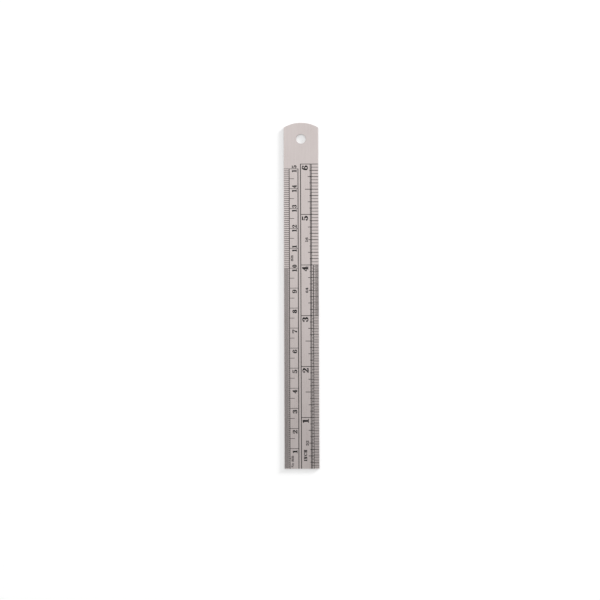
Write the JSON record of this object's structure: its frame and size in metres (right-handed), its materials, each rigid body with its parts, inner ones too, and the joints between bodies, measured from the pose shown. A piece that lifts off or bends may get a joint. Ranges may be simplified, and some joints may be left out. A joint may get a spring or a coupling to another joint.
{
  "type": "steel ruler",
  "caption": "Flat steel ruler, square at the zero end, rounded at the other with a hanging hole, with black-filled metric and inch graduations, numerals and ruled lines along its edges.",
  "frame": {"origin": "centre of the blade's underside: the middle of its length and width, on the face it lies on", "axes": "+X along the blade from the zero end to the end with the hanging hole, +Y towards the metric edge, +Z out of the graduated face"},
  "size_m": [0.1732, 0.0174, 0.0007],
  "materials": {
    "steel": "fine satin, brushed along the blade",
    "black_filling": "matt black filling"
  },
  "bodies": {
    "root": {"blade": "steel", "inch_border_line": "black_filling", "inch_division_line": "black_filling", "inch_eighth_marks": "black_filling", "inch_fine_line": "black_filling", "inch_half_marks": "black_filling", "inch_label_16": "black_filling", "inch_label_32": "black_filling", "inch_label_64": "black_filling", "inch_label_unit": "black_filling", "inch_numeral_1": "black_filling", "inch_numeral_2": "black_filling", "inch_numeral_3": "black_filling", "inch_numeral_4": "black_filling", "inch_numeral_5": "black_filling", "inch_numeral_6": "black_filling", "inch_quarter_marks": "black_filling", "inch_sixteenth_marks": "black_filling", "inch_sixty_fourth_marks": "black_filling", "inch_thirty_second_marks": "black_filling", "inch_whole_marks": "black_filling", "metric_border_line": "black_filling", "metric_centimetre_marks": "black_filling", "metric_division_line": "black_filling", "metric_half_centimetre_marks": "black_filling", "metric_half_millimetre_marks": "black_filling", "metric_label_half_millimetre": "black_filling", "metric_label_millimetre": "black_filling", "metric_millimetre_marks": "black_filling", "metric_numeral_01": "black_filling", "metric_numeral_02": "black_filling", "metric_numeral_03": "black_filling", "metric_numeral_04": "black_filling", "metric_numeral_05": "black_filling", "metric_numeral_06": "black_filling", "metric_numeral_07": "black_filling", "metric_numeral_08": "black_filling", "metric_numeral_09": "black_filling", "metric_numeral_10": "black_filling", "metric_numeral_11": "black_filling", "metric_numeral_12": "black_filling", "metric_numeral_13": "black_filling", "metric_numeral_14": "black_filling", "metric_numeral_15": "black_filling"}
  },
  "joints": []
}
